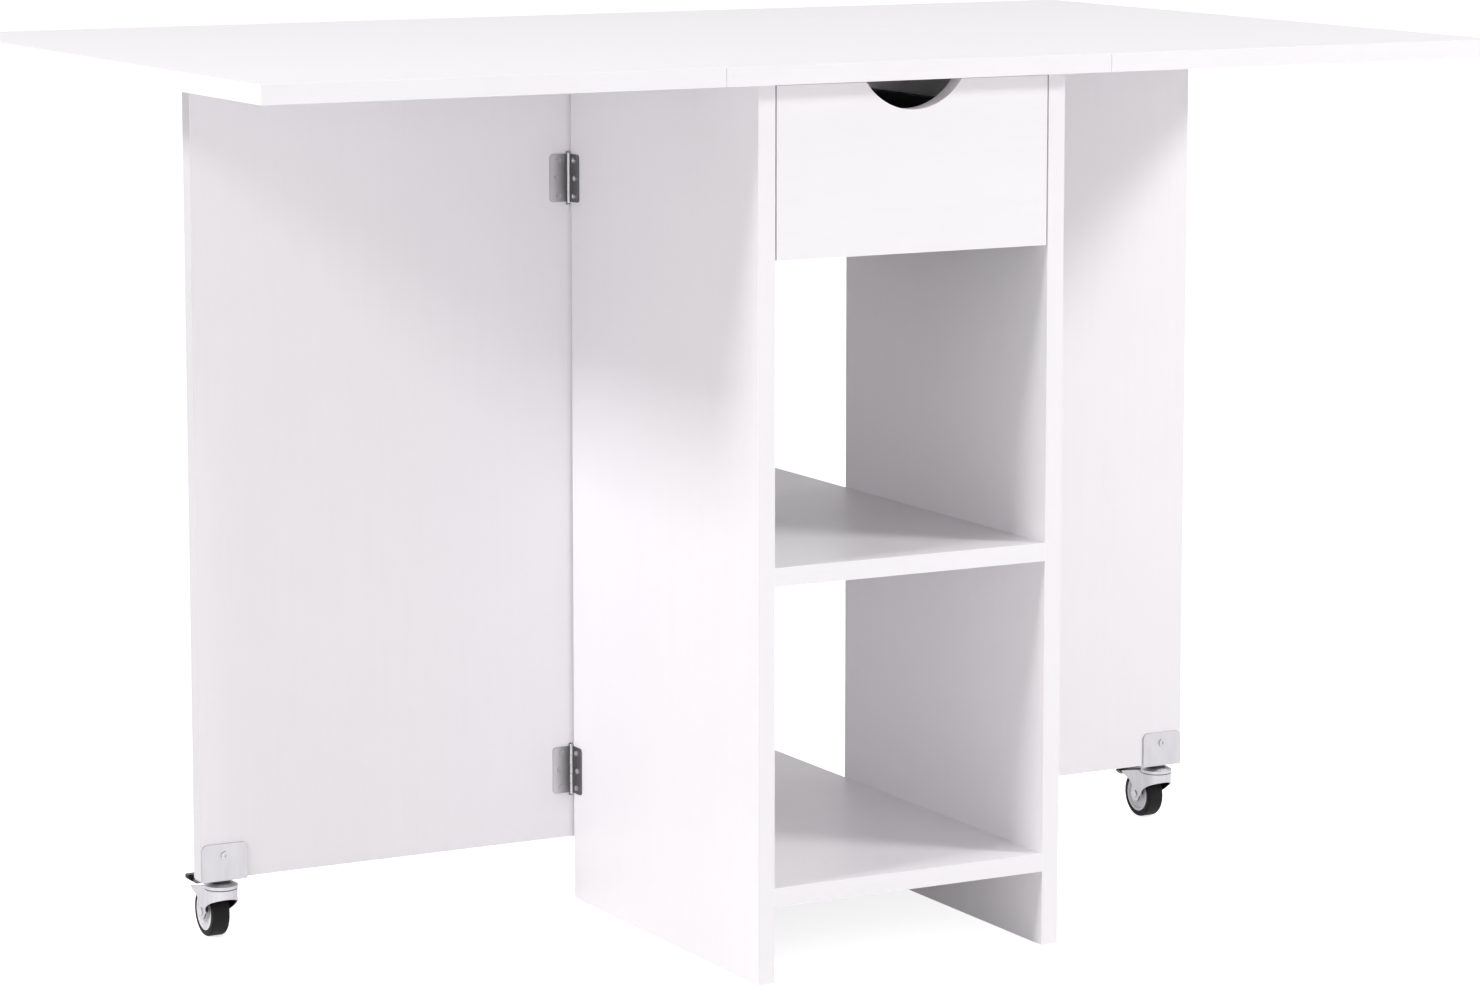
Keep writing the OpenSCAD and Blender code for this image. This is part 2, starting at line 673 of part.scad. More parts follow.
// Side view of the fork below its head: the skirt's arch, the leg with its tip, and the ear
module fork_profile() {
    rear_top_z = leg_top_z - (ear_y - bend_y) * tan(pedal_down);
    polygon([
        [-head_r - past, leg_top_z], [-head_r - past, leg_top_z - 8], [-6, leg_top_z - 12],
        [1, leg_top_z - 16.2], [bend_y - 2, leg_top_z - 21.3], [trail - 0.8 * tip_r, wheel_r - 0.4 * tip_r],
        [trail, wheel_r - 0.5 * tip_r], [trail + 0.6 * tip_r, wheel_r],
        [trail + 0.55 * tip_r, wheel_r + 0.75 * tip_r], [trail + 5.9, wheel_r + 8.9],
        [trail + 9.8, wheel_r + 11.8], [ear_y - 4.3, rear_top_z - 2.8], [ear_y, rear_top_z - 0.8],
        [ear_y, rear_top_z], [bend_y, leg_top_z]
    ]);
    translate([trail, wheel_r]) circle(r = tip_r);
}

// Outline of the fork from above: a round skirt in front and a straight leg at each side behind
module fork_plan() {
    circle(r = skirt_r);
    translate([-leg_out, 0]) square([2 * leg_out, ear_y]);
}

module caster_fork() color(zinc) at_caster() difference() {
    union() {
        translate([0, 0, head_top_z - band_h]) cylinder(r = head_r, h = band_h - shoulder_h);
        translate([0, 0, head_top_z - shoulder_h]) cylinder(r1 = head_r, r2 = shoulder_top_r, h = shoulder_h);
        intersection() {
            linear_extrude(head_top_z) fork_plan();
            rotate([90, 0, 90]) translate([0, 0, -head_r]) linear_extrude(2 * head_r) fork_profile();
        }
    }
    intersection() {
        translate([0, 0, head_top_z - band_h - groove_h]) difference() {
            cylinder(r = head_r + past, h = groove_h + 0.1);
            translate([0, 0, -past]) cylinder(r = skirt_r - groove_in, h = groove_h + 2 * past);
        }
        block([-head_r - past, -head_r - past, 0], [head_r + past, bend_y - 1.5, head_top_z]);
    }
    translate([0, 0, -past]) cylinder(r = skirt_r - sheet_t, h = head_top_z - head_plate_t + past);
    block([-leg_in, 0, -past], [leg_in, ear_y + past, head_top_z - head_plate_t]);
    rod([0, 0, head_top_z - head_plate_t - past], [0, 0, 0], kingpin_r + run_gap, head_plate_t + 2 * past);
    rod([-head_r, trail, wheel_r], [0, 90, 0], axle_r + fit, 2 * head_r);
    rod([-head_r - past, pedal_pin_y, pedal_pin_z], [0, 90, 0], pedal_pin_r + fit, 2 * head_r + 2 * past);
}

module caster_fork_right() caster_fork();
module caster_fork_left() left_side() caster_fork();

// Axle with a rivet head outside each leg
module axle() color(zinc) at_caster() {
    rod([-leg_out, trail, wheel_r], [0, 90, 0], axle_r, 2 * leg_out);
    for (x = [-leg_out - axle_head_h, leg_out]) rod([x, trail, wheel_r], [0, 90, 0], axle_head_r, axle_head_h);
}

module axle_right() axle();
module axle_left() left_side() axle();

// Half section of the wheel hub: [radius, place along the axle]
module hub_section() {
    half = wheel_w / 2 - 0.25;
    boss = leg_in - 0.1;
    polygon([
        [axle_r + hole_gap, -boss], [hub_boss_r, -boss], [hub_boss_r + 0.8, hub_dish - half],
        [hub_r - hub_rim - 0.8, hub_dish - half], [hub_r - hub_rim, -half], [hub_r, -half],
        [hub_r, half], [hub_r - hub_rim, half], [hub_r - hub_rim - 0.8, half - hub_dish],
        [hub_boss_r + 0.8, half - hub_dish], [hub_boss_r, boss], [axle_r + hole_gap, boss]
    ]);
}

module wheel_hub() color(hub_grey) at_caster() translate([0, trail, wheel_r]) rotate([0, 90, 0])
    rotate_extrude() hub_section();

module wheel_hub_right() wheel_hub();
module wheel_hub_left() left_side() wheel_hub();

// Half section of the tyre, with rounded shoulders
module tyre_section() {
    half = wheel_w / 2;
    r = shoulder_r;
    translate([hub_r + fit, -half]) square([wheel_r - r - hub_r - fit, wheel_w]);
    translate([hub_r + fit, r - half]) square([wheel_r - hub_r - fit, wheel_w - 2 * r]);
    for (s = [-1, 1]) translate([wheel_r - r, s * (half - r)]) circle(r = r);
}

module tyre() color(rubber) at_caster() translate([0, trail, wheel_r]) rotate([0, 90, 0])
    rotate_extrude() tyre_section();

module tyre_right() tyre();
module tyre_left() left_side() tyre();

// Rear view of the brake pedal's pad: thin at its ends and deeper in the middle, under the neck
module pad_profile() polygon([
    [-pad_w / 2, pad_t - pad_end_t], [-neck_w / 2 + 0.5, -pad_drop], [neck_w / 2 - 0.5, -pad_drop],
    [pad_w / 2, pad_t - pad_end_t], [pad_w / 2, pad_t - 0.8], [pad_w / 2 - 0.8, pad_t],
    [0.8 - pad_w / 2, pad_t], [-pad_w / 2, pad_t - 0.8]
]);

// Plan of the brake pedal's pad: it widens from the neck to a blunt rear edge
module pad_plan() polygon([
    [-neck_w / 2, pedal_l - pad_l - 3], [neck_w / 2, pedal_l - pad_l - 3], [neck_w / 2, pedal_l - pad_l],
    [pad_w / 2 - 1, pedal_l - pad_l], [pad_w / 2, pedal_l - pad_l + 1.5],
    [pad_w / 2, pedal_l - 2], [pad_w / 2 - 2, pedal_l], [2 - pad_w / 2, pedal_l], [-pad_w / 2, pedal_l - 2],
    [-pad_w / 2, pedal_l - pad_l + 1.5], [1 - pad_w / 2, pedal_l - pad_l], [-neck_w / 2, pedal_l - pad_l]
]);

// Side view of the web under the pedal's neck, clear of the tyre when the pedal is pressed
module neck_web() polygon([
    [neck_y + 9.5, pedal_under + 0.5], [neck_y + 9.5, pedal_under], [neck_y + 15, pedal_under - pad_drop],
    [pedal_l - pad_l - 2.5, pedal_under - pad_drop], [pedal_l - pad_l - 2.5, pedal_under + 0.5]
]);

// Brake pedal on its pin, at a slope: a boss, a neck over the tyre and a wide pad
module brake_pedal(slope) color(black) at_caster() translate([0, pedal_pin_y, pedal_pin_z]) rotate([-slope, 0, 0])
    difference() {
        union() {
            rod([-neck_w / 2, 0, 0], [0, 90, 0], pedal_boss_r, neck_w);
            block([-neck_w / 2, -1, 0], [neck_w / 2, 1.5, pedal_under + 1]);
            block([-neck_w / 2, 0, pedal_under], [neck_w / 2, pedal_l - pad_l, pedal_under + pedal_t]);
            rotate([90, 0, 90]) translate([0, 0, -neck_w / 2]) linear_extrude(neck_w) neck_web();
            translate([0, 0, pedal_under]) intersection() {
                translate([0, 0, -pad_drop]) linear_extrude(pad_drop + pad_t) pad_plan();
                rotate([90, 0, 0]) translate([0, 0, -pedal_l - past]) linear_extrude(pedal_l) pad_profile();
            }
        }
        rod([-pad_w, 0, 0], [0, 90, 0], pedal_pin_r + run_gap, 2 * pad_w);
    }

module brake_pedal_right() brake_pedal(pedal_down);
module brake_pedal_left() left_side() brake_pedal(pedal_down - pedal_swing);

module pedal_pin_piece() color(zinc) at_caster()
    rod([-leg_out - 0.4, pedal_pin_y, pedal_pin_z], [0, 90, 0], pedal_pin_r, 2 * leg_out + 0.8);

module pedal_pin_right() pedal_pin_piece();
module pedal_pin_left() left_side() pedal_pin_piece();

top_centre();
top_leaf_left();
top_leaf_right();
side_panel_left();
side_panel_right();
back_panel();
shelf_middle();
shelf_bottom();
drawer_runner_left();
drawer_runner_right();
runner_screws();
leaf_hinge_fixed_plates();
leaf_hinge_leaf_plates();
leaf_hinge_pins();
leaf_hinge_screws();
carcass_cams();
carcass_cam_bolts();
carcass_dowels();
hinge_upper_left_panel_leaf();
hinge_lower_left_panel_leaf();
hinge_upper_right_panel_leaf();
hinge_lower_right_panel_leaf();
gate_hinge_pins_left();
gate_hinge_pins_right();
panel_hinge_screws_left();
panel_hinge_screws_right();
drawer_front();
drawer_side_left();
drawer_side_right();
drawer_back();
drawer_bottom();
drawer_cams();
drawer_cam_bolts();
drawer_screws();
gate_left();
hinge_upper_left_gate_leaf();
hinge_lower_left_gate_leaf();
gate_screws_left();
caster_bracket_left();
kingpin_left();
caster_fork_left();
swivel_cover_left();
axle_left();
wheel_hub_left();
tyre_left();
brake_pedal_left();
pedal_pin_left();
gate_right();
hinge_upper_right_gate_leaf();
hinge_lower_right_gate_leaf();
gate_screws_right();
caster_bracket_right();
kingpin_right();
caster_fork_right();
swivel_cover_right();
axle_right();
wheel_hub_right();
tyre_right();
brake_pedal_right();
pedal_pin_right();
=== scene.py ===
"""Finishes and studio for a drop-leaf kitchen cart: board, steel, zinc, rubber and plastic."""

import math

import bpy
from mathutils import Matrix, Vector


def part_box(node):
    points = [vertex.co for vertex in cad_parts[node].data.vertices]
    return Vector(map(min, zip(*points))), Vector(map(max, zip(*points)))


bl_info = {
    "name": "Drop-Leaf Kitchen Cart",
    "version": (1, 0, 0),
    "blender": (4, 5, 0),
    "location": "View3D > Sidebar > Cart",
    "description": "Finishes the boards, hinges, fittings and casters of a drop-leaf kitchen cart",
    "category": "Object",
}

MM = 0.001
SIDES = ("left", "right")

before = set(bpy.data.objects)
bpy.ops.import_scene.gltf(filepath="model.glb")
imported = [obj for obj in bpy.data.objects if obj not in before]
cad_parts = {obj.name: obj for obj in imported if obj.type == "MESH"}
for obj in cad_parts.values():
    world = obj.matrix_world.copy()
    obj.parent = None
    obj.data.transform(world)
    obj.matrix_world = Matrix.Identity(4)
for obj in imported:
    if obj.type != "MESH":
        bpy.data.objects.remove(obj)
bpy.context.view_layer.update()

MAIN_BOARDS = (
    "top_centre",
    "top_leaf_left",
    "top_leaf_right",
    "side_panel_left",
    "side_panel_right",
    "back_panel",
    "shelf_middle",
    "shelf_bottom",
    "drawer_front",
    "gate_left",
    "gate_right",
)
UPRIGHT_BOARDS = ("side_panel_left", "side_panel_right", "back_panel", "gate_left", "gate_right")
DRAWER_BOX = ("drawer_side_left", "drawer_side_right", "drawer_back", "drawer_bottom")
RUNNERS = ("drawer_runner_left", "drawer_runner_right")
FITTINGS = (
    "carcass_cams",
    "carcass_cam_bolts",
    "drawer_cams",
    "drawer_cam_bolts",
    "drawer_screws",
    "runner_screws",
)

# How a pattern is scaled along each axis: below one draws it out
PRINT_ALONG_X = (0.035, 1.0, 1.0)
PRINT_ALONG_Y = (1.0, 0.035, 1.0)
PRINT_ALONG_Z = (1.0, 1.0, 0.035)
BRUSHED_ALONG_Z = (1.0, 1.0, 0.12)
ROLLED_ALONG_Z = (1.0, 1.0, 0.3)
TURNED_ALONG_X = (0.15, 1.0, 1.0)
EVEN = (1.0, 1.0, 1.0)

# Places on the CAD nodes where a finish changes
JOINT_LINE = 0.28 * MM  # half width of the line beside a board's edge band
END_FACE_START = 0.3 * MM  # a gate's end face is darkened from here
END_FACE_FULL = 0.1 * MM
KNUCKLE_INNER = 2.4 * MM  # the hinge knuckles' outside, with room for a soft change
KNUCKLE_OUTER = 2.6 * MM
LEAF_SHADE_START = 2.5 * MM
GATE_LEAF_SHADE_END = 15.0 * MM
PANEL_LEAF_SHADE_END = 5.5 * MM
CASTER_SCREWS_START = 300.0 * MM  # gate screws further out than this belong to the casters
FORK_SHEET = 0.8 * MM
FORK_HALF_GAP = 9.3 * MM
FORK_INSIDE_FADE = 0.2 * MM
HEAD_SEAM_DROP = 5.3 * MM  # from the fork's top to the line under its band
TREAD_FLAT = 5.2 * MM  # half width of the tyre's running face
TREAD_SHOULDER = 6.6 * MM

# Finishes that differ from piece to piece
BOARD_SHINE = 0.45
BOX_ROUGHNESS = 0.55
BOX_SHINE = 0.12
TYRE_SHINE = 0.19
FINE_GRAIN = 0.3 * MM
PLATED_GRAIN = 1.2 * MM
BOX_ROUND = 0.5 * MM
SMALL_ROUND = 0.25 * MM
PLASTIC_ROUND = 0.35 * MM
# The edge gain paints the edges: above one a painted highlight (pins, fittings), below one a
# painted shade (plates, screws, rivets, sheet zinc)
PLATE_STEEL = {"roughness": 0.40, "run": BRUSHED_ALONG_Z, "painted_edge_gain": 0.8}
PIN_STEEL = {
    "roughness": 0.26,
    "run": EVEN,
    "painted_edge_gain": 1.2,
    "grain_size": PLATED_GRAIN,
    "relief": 0.03,
}
PANEL_SCREW_STEEL = {**PIN_STEEL, "roughness": 0.30, "painted_edge_gain": 0.6}
RIVET_ZINC = {**PIN_STEEL, "roughness": 0.30, "painted_edge_gain": 0.85}
FITTING_ZINC = {**PIN_STEEL, "roughness": 0.32, "painted_edge_gain": 1.1, "relief": 0.04}
SHEET_ZINC = {"roughness": 0.48, "run": ROLLED_ALONG_Z, "painted_edge_gain": 0.72}

# Sizes of the studio
IMAGE_WIDTH = 1480  # pixels of the photograph's frame
SENSOR_WIDTH = 36.0
VIEW_DISTANCE = 100.0
FLOOR_HALF = 30.0
LAMP_TARGET = (0.0, 0.0, 0.4)
KEY_SIZE = 0.7
SIDE_SIZE = 0.9
FRONT_SIZE = 1.2
WHITE = (1.0, 1.0, 1.0, 1.0)


class CartFinishes(bpy.types.PropertyGroup):
    """Colours and small radii of the cart's surfaces"""

    laminate_colour: bpy.props.FloatVectorProperty(
        name="Laminate",
        description="Colour of the white faced boards",
        subtype="COLOR",
        size=3,
        min=0.0,
        max=1.0,
        default=(0.862, 0.838, 0.862),
    )
    laminate_roughness: bpy.props.FloatProperty(
        name="Laminate Roughness",
        description="Roughness of the white faced boards",
        subtype="FACTOR",
        min=0.0,
        max=1.0,
        default=0.42,
    )
    # Painted shade: the drawer box is near black so the drawer's inside reads dark through the
    # finger cut
    box_shade_colour: bpy.props.FloatVectorProperty(
        name="Drawer Box",
        description="Colour of the drawer's sides, back and bottom",
        subtype="COLOR",
        size=3,
        min=0.0,
        max=1.0,
        default=(0.0085, 0.008, 0.009),
    )
    hinge_colour: bpy.props.FloatVectorProperty(
        name="Hinge Steel",
        description="Colour of the hinge pins, knuckles, leaf hinge plates and gate screws",
        subtype="COLOR",
        size=3,
        min=0.0,
        max=1.0,
        default=(0.48, 0.475, 0.485),
    )
    # The two leaves of each hinge are one steel, painted as a lit copy on the gates and a shaded
    # copy on the side panels
    gate_leaf_lit_colour: bpy.props.FloatVectorProperty(
        name="Gate Hinge Leaf",
        description="Colour of the hinges' light leaves on the gates",
        subtype="COLOR",
        size=3,
        min=0.0,
        max=1.0,
        default=(0.57, 0.565, 0.575),
    )
    panel_leaf_shaded_colour: bpy.props.FloatVectorProperty(
        name="Panel Hinge Leaf",
        description="Colour of the hinges' dark leaves on the side panels",
        subtype="COLOR",
        size=3,
        min=0.0,
        max=1.0,
        default=(0.175, 0.172, 0.178),
    )
    # Painted highlight: the screws in the dark leaves are made bright to stand in for their glints
    panel_screw_glint_colour: bpy.props.FloatVectorProperty(
        name="Panel Screws",
        description="Colour of the bright screws in the hinges' dark leaves",
        subtype="COLOR",
        size=3,
        min=0.0,
        max=1.0,
        default=(0.80, 0.79, 0.81),
    )
    zinc_colour: bpy.props.FloatVectorProperty(
        name="Zinc",
        description="Colour of the plated caster steel and fittings",
        subtype="COLOR",
        size=3,
        min=0.0,
        max=1.0,
        default=(0.52, 0.51, 0.53),
    )
    hub_colour: bpy.props.FloatVectorProperty(
        name="Wheel Hub",
        description="Colour of the plastic wheel hubs",
        subtype="COLOR",
        size=3,
        min=0.0,
        max=1.0,
        default=(0.74, 0.73, 0.75),
    )
    tyre_colour: bpy.props.FloatVectorProperty(
        name="Tyre",
        description="Colour of the tyres",
        subtype="COLOR",
        size=3,
        min=0.0,
        max=1.0,
        default=(0.0065, 0.006, 0.0068),
    )
    plastic_colour: bpy.props.FloatVectorProperty(
        name="Black Plastic",
        description="Colour of the brake pedals and swivel covers",
        subtype="COLOR",
        size=3,
        min=0.0,
        max=1.0,
        default=(0.006, 0.006, 0.0065),
    )
    beech_colour: bpy.props.FloatVectorProperty(
        name="Beech",
        description="Colour of the dowels",
        subtype="COLOR",
        size=3,
        min=0.0,
        max=1.0,
        default=(0.56, 0.38, 0.21),
    )
    board_round: bpy.props.FloatProperty(
        name="Board Edge",
        description="Radius of the rounded edges of the boards",
        subtype="DISTANCE",
        unit="LENGTH",
        min=0.0,
        default=0.8 * MM,
    )
    band_width: bpy.props.FloatProperty(
        name="Edge Band",
        description="Distance of the edge band's joint line from a board's edge",
        subtype="DISTANCE",
        unit="LENGTH",
        min=0.0,
        default=1.1 * MM,
    )
    sheet_round: bpy.props.FloatProperty(
        name="Sheet Edge",
        description="Radius of the softened edges of the sheet steel",
        subtype="DISTANCE",
        unit="LENGTH",
        min=0.0,
        default=0.3 * MM,
    )


class CartStudio(bpy.types.PropertyGroup):
    """Camera and light for the cart"""

    camera_place: bpy.props.FloatVectorProperty(
        name="Camera",
        description="Place of the camera",
        subtype="TRANSLATION",
        unit="LENGTH",
        size=3,
        default=(-1.8769, -3.5084, 0.9760),
    )
    camera_yaw: bpy.props.FloatProperty(
        name="Yaw",
        description="Turn of the camera to the right of straight ahead",
        subtype="ANGLE",
        unit="ROTATION",
        default=math.radians(28.476),
    )
    camera_pitch: bpy.props.FloatProperty(
        name="Pitch",
        description="Tilt of the camera below the horizon",
        subtype="ANGLE",
        unit="ROTATION",
        default=math.radians(7.653),
    )
    camera_focal: bpy.props.FloatProperty(
        name="Focal Length",
        description="Focal length in pixels of the photograph's frame",
        min=100.0,
        default=4685.8,
    )
    camera_shift: bpy.props.FloatProperty(
        name="Shift",
        description="Upward shift of the lens as a share of the frame's width",
        default=-0.085,
    )
    key_power: bpy.props.FloatProperty(
        name="Key",
        description="Power of the lamp at the left",
        unit="POWER",
        min=0.0,
        default=75.0,
    )
    key_place: bpy.props.FloatVectorProperty(
        name="Key Place",
        description="Place of the lamp at the left",
        subtype="TRANSLATION",
        unit="LENGTH",
        size=3,
        default=(-3.35, -0.66, 2.73),
    )
    side_power: bpy.props.FloatProperty(
        name="Side",
        description="Power of the lamp at the front right",
        unit="POWER",
        min=0.0,
        default=86.0,
    )
    side_place: bpy.props.FloatVectorProperty(
        name="Side Place",
        description="Place of the lamp at the front right",
        subtype="TRANSLATION",
        unit="LENGTH",
        size=3,
        default=(2.65, -2.7, 2.85),
    )
    front_power: bpy.props.FloatProperty(
        name="Front",
        description="Power of the low lamp at the front left",
        unit="POWER",
        min=0.0,
        default=15.0,
    )
    front_place: bpy.props.FloatVectorProperty(
        name="Front Place",
        description="Place of the low lamp at the front left",
        subtype="TRANSLATION",
        unit="LENGTH",
        size=3,
        default=(-2.5, -3.6, 0.7),
    )
    horizon_level: bpy.props.FloatProperty(
        name="Room Light",
        description="Level of the room's light at the height of the eye",
        subtype="FACTOR",
        min=0.0,
        default=0.74,
    )
    zenith_level: bpy.props.FloatProperty(
        name="Ceiling Light",
        description="Level of the room's light straight above",
        subtype="FACTOR",
        min=0.0,
        default=0.40,
    )
    floor_colour: bpy.props.FloatVectorProperty(
        name="Floor",
        description="Colour of the floor",
        subtype="COLOR",
        size=3,
        min=0.0,
        max=1.0,
        default=(0.80, 0.80, 0.80),
    )
    floor_glow: bpy.props.FloatProperty(
        name="Floor Glow",
        description="White that the camera and reflections see on top of the floor's own light",
        subtype="FACTOR",
        min=0.0,
        default=0.75,
    )


# Small helpers for node trees


def place_node(tree, kind, inputs=None, **settings):
    """Adds a node with its settings, and gives its inputs values or links them."""
    node = tree.nodes.new(kind)
    for name, value in settings.items():
        setattr(node, name, value)
    for name, value in (inputs or {}).items():
        socket = node.inputs[name]
        if isinstance(value, bpy.types.NodeSocket):
            tree.links.new(value, socket)
        else:
            socket.default_value = value
    return node


def combine(tree, operation, a, b=None, clamp=False):
    """A Math node's result."""
    inputs = {0: a} if b is None else {0: a, 1: b}
    node = place_node(tree, "ShaderNodeMath", inputs, operation=operation, use_clamp=clamp)
    return node.outputs[0]


def combine_vectors(tree, operation, a, b):
    """A Vector Math node's vector."""
    node = place_node(tree, "ShaderNodeVectorMath", {0: a, 1: b}, operation=operation)
    return node.outputs["Vector"]


def blend_colours(tree, share, a, b):
    """A colour between a and b."""
    node = tree.nodes.new("ShaderNodeMix")
    node.data_type = "RGBA"
    # A Mix node's colour sockets have the same names as its other ones, so they go by number
    for socket, value in ((node.inputs[0], share), (node.inputs[6], a), (node.inputs[7], b)):
        if isinstance(value, bpy.types.NodeSocket):
            tree.links.new(value, socket)
        else:
            socket.default_value = value
    return node.outputs[2]


def remap(tree, value, low, high, to_low, to_high):
    """A clamped Map Range of a value."""
    node = place_node(
        tree,
        "ShaderNodeMapRange",
        {
            "Value": value,
            "From Min": low,
            "From Max": high,
            "To Min": to_low,
            "To Max": to_high,
        },
    )
    return node.outputs["Result"]


def object_place(tree):
    """The place on the object, in metres from the frame's origin."""
    return place_node(tree, "ShaderNodeTexCoord").outputs["Object"]


def split_axes(tree, vector):
    """A vector's X, Y and Z outputs."""
    return place_node(tree, "ShaderNodeSeparateXYZ", {"Vector": vector}).outputs


def distance_from_upright(tree, axes):
    """How far a place is, on plan, from an upright axis through nought."""
    flat = place_node(tree, "ShaderNodeCombineXYZ", {"X": axes[0], "Y": axes[1]}).outputs[0]
    node = place_node(tree, "ShaderNodeVectorMath", {0: flat}, operation="LENGTH")
    return node.outputs["Value"]


def start_group(name, inputs, outputs):
    """Makes a shader node group with named sockets, and returns it with its two end nodes."""
    tree = bpy.data.node_groups.new(name, "ShaderNodeTree")
    for label, kind, value in inputs:
        socket = tree.interface.new_socket(name=label, in_out="INPUT", socket_type=kind)
        socket.default_value = value
    for label, kind in outputs:
        tree.interface.new_socket(name=label, in_out="OUTPUT", socket_type=kind)
    return tree, tree.nodes.new("NodeGroupInput"), tree.nodes.new("NodeGroupOutput")


def rgba(colour, factor=1.0):
    """A colour property as four numbers, made lighter or darker."""
    return tuple(min(1.0, c * factor) for c in colour) + (1.0,)


# Shared shader groups


def make_mottle_group():
    """Soft clouds and a fine grain that follow the object."""
    tree, source, sink = start_group(
        "Mottle and Grain",
        [
            ("Cloud Size", "NodeSocketFloat", 0.08),
            ("Grain Size", "NodeSocketFloat", 0.0006),
            ("Stretch", "NodeSocketVector", (1.0, 1.0, 1.0)),
        ],
        [("Cloud", "NodeSocketFloat"), ("Grain", "NodeSocketFloat")],
    )
    stretched = combine_vectors(tree, "MULTIPLY", object_place(tree), source.outputs["Stretch"])
    for label, detail in (("Cloud", 3.0), ("Grain", 2.0)):
        density = combine(tree, "DIVIDE", 1.0, source.outputs[label + " Size"])
        noise = place_node(
            tree, "ShaderNodeTexNoise", {"Vector": stretched, "Scale": density, "Detail": detail}
        )
        level = remap(tree, noise.outputs["Fac"], 0.3, 0.7, 0.0, 1.0)
        tree.links.new(level, sink.inputs[label])
    return tree


def make_band_group():
    """Where a board's edge band meets its faces, and how near a place is to its face's nearest
    edge.
    """
    tree, source, sink = start_group(
        "Board Edge Band",
        [
            ("Low Corner", "NodeSocketVector", (0.0, 0.0, 0.0)),
            ("High Corner", "NodeSocketVector", (1.0, 1.0, 1.0)),
            ("Band Width", "NodeSocketFloat", 1.0 * MM),
            ("Line Width", "NodeSocketFloat", 0.2 * MM),
        ],
        [("Joint Line", "NodeSocketFloat"), ("Near Edge", "NodeSocketFloat")],
    )
    where = object_place(tree)
    from_low = combine_vectors(tree, "SUBTRACT", where, source.outputs["Low Corner"])
    from_high = combine_vectors(tree, "SUBTRACT", source.outputs["High Corner"], where)
    axes = split_axes(tree, combine_vectors(tree, "MINIMUM", from_low, from_high))
    # A face has one inset at nought, so the middle one is the distance from the nearest edge
    small = combine(tree, "MINIMUM", axes[0], axes[1])
    large = combine(tree, "MAXIMUM", axes[0], axes[1])
    middle = combine(tree, "MAXIMUM", small, combine(tree, "MINIMUM", large, axes[2]))
    beyond = combine(tree, "SUBTRACT", middle, source.outputs["Band Width"])
    off_line = combine(tree, "ABSOLUTE", beyond)
    share = combine(tree, "DIVIDE", off_line, source.outputs["Line Width"], clamp=True)
    tree.links.new(combine(tree, "SUBTRACT", 1.0, share), sink.inputs["Joint Line"])
    near = combine(tree, "DIVIDE", middle, source.outputs["Band Width"], clamp=True)
    tree.links.new(combine(tree, "SUBTRACT", 1.0, near), sink.inputs["Near Edge"])
    return tree


def make_convex_edge_group():
    """A mask that is high along convex edges, broken up by a fine noise."""
    tree, source, sink = start_group(
        "Convex Edges",
        [("Radius", "NodeSocketFloat", 0.0004), ("Break Up", "NodeSocketFloat", 900.0)],
        [("Edge", "NodeSocketFloat")],
    )
    flat = place_node(tree, "ShaderNodeNewGeometry").outputs["Normal"]
    radius = source.outputs["Radius"]
    rounded = place_node(tree, "ShaderNodeBevel", {"Radius": radius}, samples=6).outputs["Normal"]
    likeness = place_node(
        tree, "ShaderNodeVectorMath", {0: flat, 1: rounded}, operation="DOT_PRODUCT"
    ).outputs["Value"]
    bent = remap(tree, likeness, 0.80, 0.995, 1.0, 0.0)
    noise = place_node(
        tree,
        "ShaderNodeTexNoise",
        {"Vector": object_place(tree), "Scale": source.outputs["Break Up"], "Detail": 2.0},
    )
    spots = remap(tree, noise.outputs["Fac"], 0.35, 0.6, 0.35, 1.0)
    tree.links.new(combine(tree, "MULTIPLY", bent, spots), sink.inputs["Edge"])
    return tree


MOTTLE = make_mottle_group()
EDGE_BAND = make_band_group()
# The edge mask carries painted highlights and painted shade along metal edges, and scuff wear with
# a painted highlight on the plastics
CONVEX_EDGES = make_convex_edge_group()


def use_group(tree, group, **inputs):
    """Places a shared group with its own values, and returns its outputs."""
    node = tree.nodes.new("ShaderNodeGroup")
    node.node_tree = group
    for name, value in inputs.items():
        node.inputs[name.replace("_", " ")].default_value = value
    return node.outputs


def start_material(name):
    """A new material with its Principled shader."""
    material = bpy.data.materials.new(name)
    material.use_nodes = True
    tree = material.node_tree
    shader = next(n for n in tree.nodes if n.type == "BSDF_PRINCIPLED")
    return material, tree, shader


def connect(tree, shader, **sockets):
    """Feeds shader sockets from varying outputs."""
    for name, output in sockets.items():
        tree.links.new(output, shader.inputs[name.replace("_", " ")])


def bump(tree, height, strength, distance):
    """A Bump node's normal over a height."""
    inputs = {"Height": height, "Strength": strength, "Distance": distance}
    return place_node(tree, "ShaderNodeBump", inputs).outputs["Normal"]


# Materials


